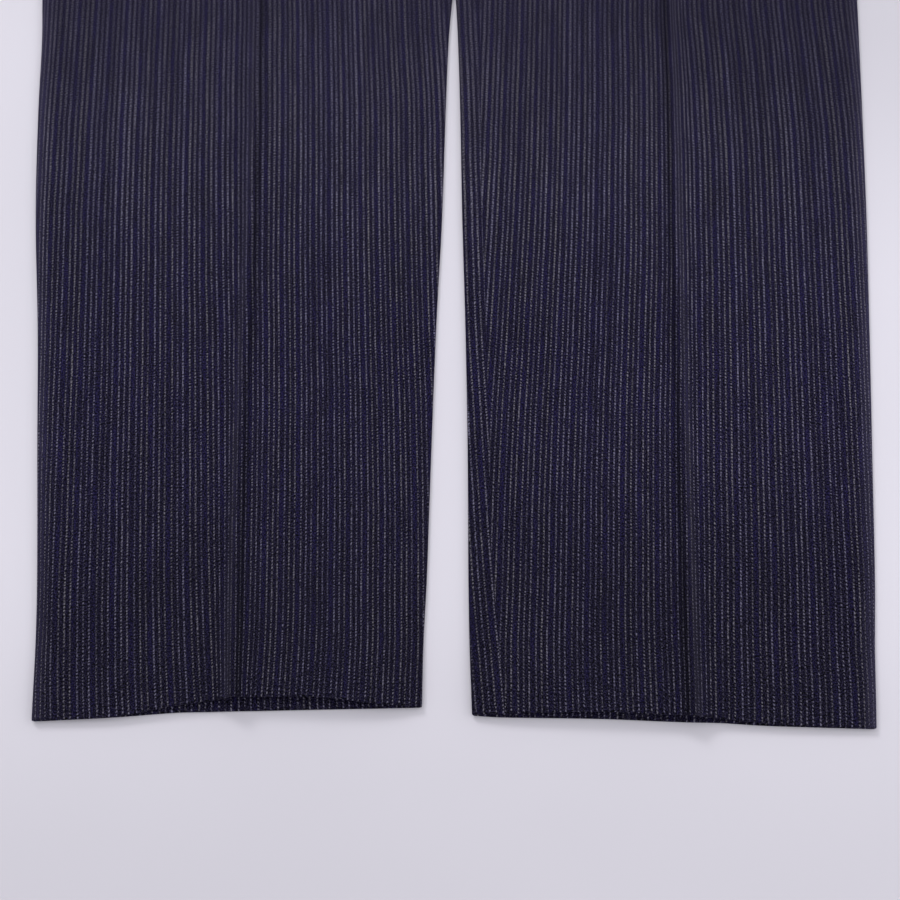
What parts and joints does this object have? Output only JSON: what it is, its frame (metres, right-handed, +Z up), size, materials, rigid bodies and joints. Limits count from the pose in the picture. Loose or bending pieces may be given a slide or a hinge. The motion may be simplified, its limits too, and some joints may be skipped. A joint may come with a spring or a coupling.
{
  "type": "hakama trousers",
  "caption": "Wide hakama trousers laid flat: two creased, tapered legs with open hems, front pleats and a plain waistband.",
  "frame": {"origin": "middle of the bounding box, on the surface the garment lies on", "axes": "+X to the right as seen from above with the hems nearest, +Y from the hems to the waist, +Z up through the cloth"},
  "size_m": [0.683, 0.9702, 0.0155],
  "materials": {
    "front_cloth": "matt navy cloth with fine woven warm grey stripes",
    "back_cloth": "matt navy cloth with fine woven warm grey stripes",
    "band_cloth": "matt navy cloth with fine woven warm grey stripes, doubled"
  },
  "bodies": {
    "root": {"left_front_leg": "front_cloth", "right_front_leg": "front_cloth", "left_back_leg": "back_cloth", "right_back_leg": "back_cloth", "front_waistband": "band_cloth", "back_waistband": "band_cloth"}
  },
  "joints": []
}
